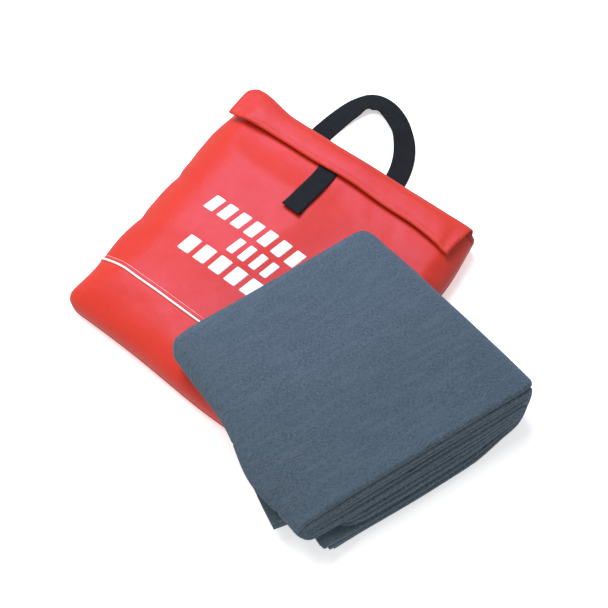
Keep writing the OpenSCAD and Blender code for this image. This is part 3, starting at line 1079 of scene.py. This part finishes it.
def under_tab(x, y):
    """Point and downward normal of the closure strap's underside."""
    at = tab_points[::-1, 1]
    centre, n = at_places(tab_points[::-1], at, y), at_places(tab_normals[::-1], at, y)
    n = n if n[2] > 0 else -n
    return np.array([centre[0] + x - TAB_X, y, centre[2]]) - n * TAB_T / 2, -n


def over_tab(x, y):
    p, n = under_tab(x, y)
    return p - n * TAB_T, -n


loop_box, hook_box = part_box("loop_patch"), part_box("hook_patch")
trim(pad("loop_pad", loop_box, on_front, 0.9 * MM), ["loop_patch"])
trim(stitches("loop_stitches", outline(loop_box, 2.5 * MM, on_front, 0.85 * MM), "black_thread"),
     ["loop_patch_thread"])
trim(pad("hook_pad", hook_box, under_tab, 1.2 * MM), ["hook_patch"], "tab")
trim(stitches("hook_stitches", outline(hook_box, 3 * MM, over_tab, 0.1 * MM), "black_thread"),
     ["hook_patch_thread"], "tab")


# ---------------------------------------------------------------- the blanket

PLY = 3.1 * MM
PACKET = 6 * PLY
STACK = 24 * PLY
HALF_L = 197 * MM
HALF_X = 169 * MM
REST_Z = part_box("blanket_upper_half")[1].z - STACK
# thickest ply, where the vertex group is 1, and the share of it that a pressed ply has
FLUFFED = 8.0 * MM
PLY_SHARE = 0.37
# how far the second packet is drawn back at the near side, and how far the near side bulges out there
B_PULL = 52 * MM
LOBE = 14 * MM


def cross_fold():
    """One packet across: (x, offset from the packet's middle, ply) for six plies folded zigzag."""
    reach = 1.8 * MM
    places = []
    for k in range(6):
        offset = (k - 2.5) * PLY
        way = 1 if k % 2 == 0 else -1
        for s in np.linspace(-1, 1, 41):
            places.append((way * s * (HALF_X - reach), offset, k))
        if k < 5:
            for a in np.linspace(0, math.pi, 9)[1:-1]:
                x = way * (HALF_X - reach + reach * math.sin(a) ** 0.32)
                places.append((x, offset + PLY / 2 * (1 - math.cos(a)), k + 0.5))
    places = np.array(places)
    return places, along(places[:, :2])


def long_fold():
    """The packets' middle line: (y, height), its left normal, and the distance along it."""
    step = 22 * MM
    outer, inner = 1.5 * PACKET, 0.5 * PACKET
    turn_y = HALF_L - 2 * PACKET
    lobe_y = -HALF_L + PACKET
    line = []

    def run(y0, y1, h):
        for y in np.linspace(y0, y1, max(2, int(abs(y1 - y0) / step)) + 1):
            line.append((y, h))

    def arc(cy, ch, radius, start, sweep, steps):
        for a in np.linspace(0, sweep, steps + 1)[1:-1]:
            line.append((cy + radius * math.cos(start + a), ch + radius * math.sin(start + a)))

    run(-HALF_L, turn_y, 0.5 * PACKET)
    arc(turn_y, 2 * PACKET, outer, -math.pi / 2, math.pi, 16)
    run(turn_y, lobe_y, 3.5 * PACKET)
    arc(lobe_y, 3 * PACKET, inner, math.pi / 2, math.pi, 12)
    run(lobe_y, turn_y, 2.5 * PACKET)
    arc(turn_y, 2 * PACKET, inner, math.pi / 2, -math.pi, 12)
    run(turn_y, -HALF_L, 1.5 * PACKET)
    line = np.array(line)
    tangent = unit(np.gradient(line, axis=0))
    tangent[[0, -1]] = unit([line[1] - line[0], line[-1] - line[-2]])
    normal = np.column_stack([-tangent[:, 1], tangent[:, 0]])
    return line, normal, along(line)


def drape(x, y, h):
    """Lays the flat stack over the bag's edge and down to the floor."""
    g = np.clip(h / STACK, 0, 1)
    # 0 at the near side and 1 at the far side, where the stack leaves the bag earlier
    side = smoothstep((y + 0.146) / 0.343)
    under = REST_Z * (1 - ease(x, 0.066 - 0.050 * side, 0.160 - 0.035 * side))
    middle_flat = REST_Z + STACK / 2
    middle = middle_flat - (middle_flat - 52 * MM) * ease(x, 0.0, 0.199)
    top_flat = REST_Z + STACK
    top = top_flat - (top_flat - 110 * MM) * ease(x, -0.020, 0.209)
    lower = under + (middle - under) * np.minimum(g * 2, 1)
    upper = (top - middle) * np.maximum(g * 2 - 1, 0)
    # the plies' two ends, which lie further out the lower they are
    start = -HALF_X + 20 * MM * smoothstep(1 - g)
    end = 163 * MM + 42 * MM * np.minimum(1 - g, 0.5) + 24 * MM * np.maximum(0.5 - g, 0)
    share = (x + HALF_X) / (2 * HALF_X)
    soft_end = 7.0 * MM * np.exp(-(x + HALF_X) / 0.016) * smoothstep(g * 2 - 1)
    near = 15.0 * MM * np.exp(-(y + HALF_L) / 0.020)
    near = near + 18.0 * MM * ease(-y, 0.070, 0.195) * ease(x, -0.10, 0.12)
    soft_end = soft_end + near * smoothstep(g * 2 - 1) * (g > 0.5)
    return start + share * (end - start), lower + upper - soft_end + 0.3 * MM


# how far the folded stack's corners are pulled along x and y, in mm
CORNERS = {(-1, -1): (-7, 1), (-1, 1): (30, -32), (1, 1): (34, 0), (1, -1): (-15, -9)}


def pulled(x, y):
    """The folded stack isn't square: CORNERS pulls it, and its far side flares out to the right."""
    a, b = np.clip(x / HALF_X, -1.1, 1.1), np.clip(y / HALF_L, -1.1, 1.1)
    for (sx, sy), (dx, dy) in CORNERS.items():
        share = (1 + sx * a) * (1 + sy * b) / 4
        x, y = x + dx * MM * share, y + dy * MM * share
    flare = 12 * MM * np.clip((a + 0.15) / 1.15, 0, 1) ** 0.9 * np.maximum(b, 0) ** 2
    waist = 3.5 * MM * np.maximum(b, 0) ** 2 * (1 - np.minimum(a ** 6, 1)) * (1 - ease(a, -0.1, 0.6))
    return x + 0.6 * flare, y - waist + flare


def rounded_end(x, y):
    """Shortens the plies towards the stack's corners, so that it is rounded in plan."""
    radius = np.where(x < 0, 30 * MM, np.where(y > 0, 40 * MM, 12 * MM))
    into = np.clip(np.abs(y) - (HALF_L - radius), 0, radius)
    cut = radius - np.sqrt(np.maximum(radius ** 2 - into ** 2, 0))
    return x * (1 - cut / HALF_X)


def blanket_cloth():
    """The whole blanket as one sheet: six plies across, then in half and in half again."""
    across, u = cross_fold()
    path, normal, v = long_fold()
    # the sheet's first run is the lowest packet, and its last run lies straight on that
    lowest_end, second_start = v[-1] * 0.30, v[-1] * 0.70
    free_share = np.clip((HALF_L - 2 * PACKET - path[:, 0]) / (2 * HALF_L - 2 * PACKET), 0, 1)
    rng = np.random.default_rng(12)
    slip = rng.normal(0, 0.4 * MM, (6, 2))
    lean = rng.normal(0, 1, (6, 4))
    points, cloth, fluff = [], [], []
    flat_x, n = across[:, 0], across[:, 1]
    k = np.clip(across[:, 2].round().astype(int), 0, 5)
    far = smoothstep(np.abs(flat_x) / HALF_X)
    bulge = -1.2 * MM * (np.abs(n) / (2.5 * PLY)) ** 2 * far
    edge = np.where(flat_x > 0, slip[k, 0], slip[k, 1]) * far
    for j in range(len(path)):
        loose = np.zeros(len(across))
        y = path[j, 0] + normal[j, 0] * n
        h = path[j, 1] + normal[j, 1] * n
        sway = 0.9 * MM * np.sin(y * 19 + lean[k, 0] * 2 + h * 60) * far
        x = flat_x + np.sign(flat_x) * (bulge + edge) + sway
        loose_end = v[j] < lowest_end or v[j] > second_start
        x = np.where(loose_end & (y < 0), x, rounded_end(x, y))
        x, z = drape(x, y, h)
        lobe = LOBE * bell(x, 0.070, 0.060) * ease(-y, 0.090, 0.190) * ease(h / STACK, 0.45, 0.60)
        x, y = pulled(x, y - lobe)
        low_right = np.clip(1 - h / STACK, 0, 1) ** 1.3 * ease(x, 0.0, 0.16) * ease(y, 0.05, 0.20)
        x, y = x - 18 * MM * low_right, y - 16 * MM * low_right
        if v[j] < lowest_end:
            x = x + 11 * MM * free_share[j] * ease(x, 0.0, 0.15)
            y = y + (29 * MM - 4 * MM * n / PLY) * free_share[j] * (0.35 + 0.65 * ease(x, -0.15, 0.15))
            bare = B_PULL * ease(-y, 0.105, 0.185)
            loose = bare / B_PULL * ease(x, 0.160 - bare, 0.205 - bare)
            z = z * (1 + 0.75 * loose)
        elif v[j] > second_start:
            x = x - B_PULL * ease(-y, 0.105, 0.200) * ease(x, -0.169, 0.0)
            y = y + (-17 * MM + 0.138 * (0.120 - x)) * free_share[j]
        points.append(np.column_stack([x, y, z]))
        cloth.append(np.column_stack([u, np.full(len(u), v[j])]))
        packed = 0.12 * ease(x, 0.10, 0.16) * (h > 2 * PLY) * (1 - loose)
        fluff.append(PLY_SHARE + 0.25 * ease(x, 0.02, 0.15) + packed + 0.38 * loose)
    return np.concatenate(points), np.concatenate(cloth), np.concatenate(fluff), len(path), len(across)


def soften(points):
    """Slow waves and slack in the stack, stronger towards its top and its free corners."""
    x, y, z = points.T
    dx = 2.2 * MM * np.sin(y * 12 + 0.7 + z * 18)
    dy = 2.0 * MM * np.sin(x * 14 + z * 25)
    more = 1.2 * MM * np.sin(x * 33 + 2)
    dz = 1.3 * MM * np.sin(x * 17 + 1.2) * np.sin(y * 15 + 0.4) + 0.8 * MM * np.sin(x * 37 + y * 23)
    return np.column_stack([x + dx, y + dy + more, z + dz * smoothstep((z - 0.02) / 0.12)])


def to_world(points):
    x, y, z = points.T
    return np.column_stack([BLANKET_AT.x + x * BLANKET_X.x + y * BLANKET_Y.x,
                            BLANKET_AT.y + x * BLANKET_X.y + y * BLANKET_Y.y, z])


cloth_points, cloth_places, fluff, cloth_rows, cloth_columns = blanket_cloth()
blanket = make_piece("blanket", to_world(soften(cloth_points)), grid_faces(cloth_rows, cloth_columns),
                     "felted_wool", cloth_places)
weight = blanket.vertex_groups.new(name="thickness")
for level in np.unique(fluff.round(2)):
    weight.add([int(i) for i in np.nonzero(fluff.round(2) == level)[0]], float(level), "REPLACE")
modifier(blanket, "SOLIDIFY", thickness=FLUFFED, offset=0.0, vertex_group="thickness")
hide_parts("blanket_lower_half", "blanket_upper_half")
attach(blanket, "blanket")


# ---------------------------------------------------------------- floor

FLOOR_REACH = 40.0
floor_mesh = bpy.data.meshes.new("floor")
floor_corners = [(x * FLOOR_REACH, y * FLOOR_REACH, 0) for x, y in ((-1, -1), (1, -1), (1, 1), (-1, 1))]
floor_mesh.from_pydata(floor_corners, [], [(0, 1, 2, 3)])
floor_mesh.materials.append(pale_floor())
floor = add_object("floor", floor_mesh)
floor.location.z = -0.4 * MM
floor.visible_glossy = False
